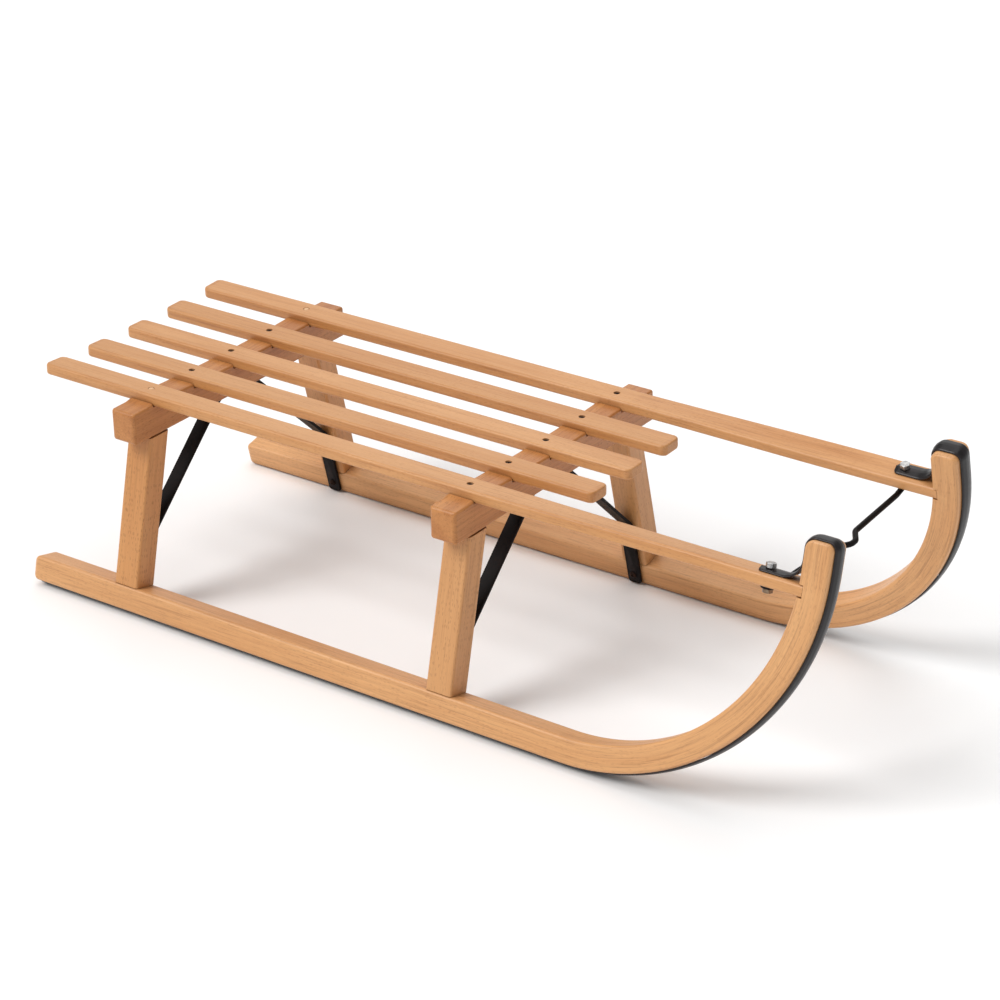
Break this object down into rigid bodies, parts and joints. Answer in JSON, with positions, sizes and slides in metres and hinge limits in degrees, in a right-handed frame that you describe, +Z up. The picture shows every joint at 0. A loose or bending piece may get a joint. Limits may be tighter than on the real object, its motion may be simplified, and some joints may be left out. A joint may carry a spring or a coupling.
{
  "type": "wooden toboggan",
  "caption": "Slatted wooden sled on bent leaning runners shod with steel, with braced legs, notched crossbeams and a steel pull rod joining the upturned tips.",
  "frame": {"origin": "centre of the bounding box's underside, on the ground midway along and across the sled", "axes": "+X forward to the upturned tips (longest extent), +Y to the sled's left (across, the mirror direction), +Z up (shortest extent)"},
  "size_m": [0.8236, 0.3394, 0.246],
  "materials": {
    "slat_wood": "clear varnished beech, satin",
    "beam_wood": "clear varnished beech, satin",
    "leg_wood": "clear varnished beech, satin",
    "runner_wood": "steam-bent beech, clear varnished, satin",
    "plug_wood": "flush wood plug, satin",
    "black_steel": "blackened steel, satin",
    "zinc": "bright zinc plate"
  },
  "bodies": {
    "root": {"brace_foot_screw_front_left": "black_steel", "brace_foot_screw_front_right": "black_steel", "brace_foot_screw_rear_left": "black_steel", "brace_foot_screw_rear_right": "black_steel", "brace_front_left": "black_steel", "brace_front_right": "black_steel", "brace_head_screw_front_left": "black_steel", "brace_head_screw_front_right": "black_steel", "brace_head_screw_rear_left": "black_steel", "brace_head_screw_rear_right": "black_steel", "brace_rear_left": "black_steel", "brace_rear_right": "black_steel", "crossbeam_front": "beam_wood", "crossbeam_rear": "beam_wood", "leg_front_left": "leg_wood", "leg_front_right": "leg_wood", "leg_rear_left": "leg_wood", "leg_rear_right": "leg_wood", "pull_rod": "black_steel", "runner_left": "runner_wood", "runner_right": "runner_wood", "shoe_left": "black_steel", "shoe_right": "black_steel", "shoe_screw_left_1": "zinc", "shoe_screw_left_2": "zinc", "shoe_screw_left_3": "zinc", "shoe_screw_left_4": "zinc", "shoe_screw_right_1": "zinc", "shoe_screw_right_2": "zinc", "shoe_screw_right_3": "zinc", "shoe_screw_right_4": "zinc", "slat_inner_left": "slat_wood", "slat_inner_right": "slat_wood", "slat_middle": "slat_wood", "slat_outer_left": "slat_wood", "slat_outer_right": "slat_wood", "slat_plug_rear_outer_left": "plug_wood", "slat_plug_rear_outer_right": "plug_wood", "slat_screw_front_inner_left": "black_steel", "slat_screw_front_inner_right": "black_steel", "slat_screw_front_middle": "black_steel", "slat_screw_front_outer_left": "black_steel", "slat_screw_front_outer_right": "black_steel", "slat_screw_rear_inner_left": "black_steel", "slat_screw_rear_inner_right": "black_steel", "slat_screw_rear_middle": "black_steel", "slat_screw_rear_outer_left": "black_steel", "slat_screw_rear_outer_right": "black_steel", "tip_bolt_left": "zinc", "tip_bolt_right": "zinc", "tip_nut_left": "zinc", "tip_nut_right": "zinc"}
  },
  "joints": []
}
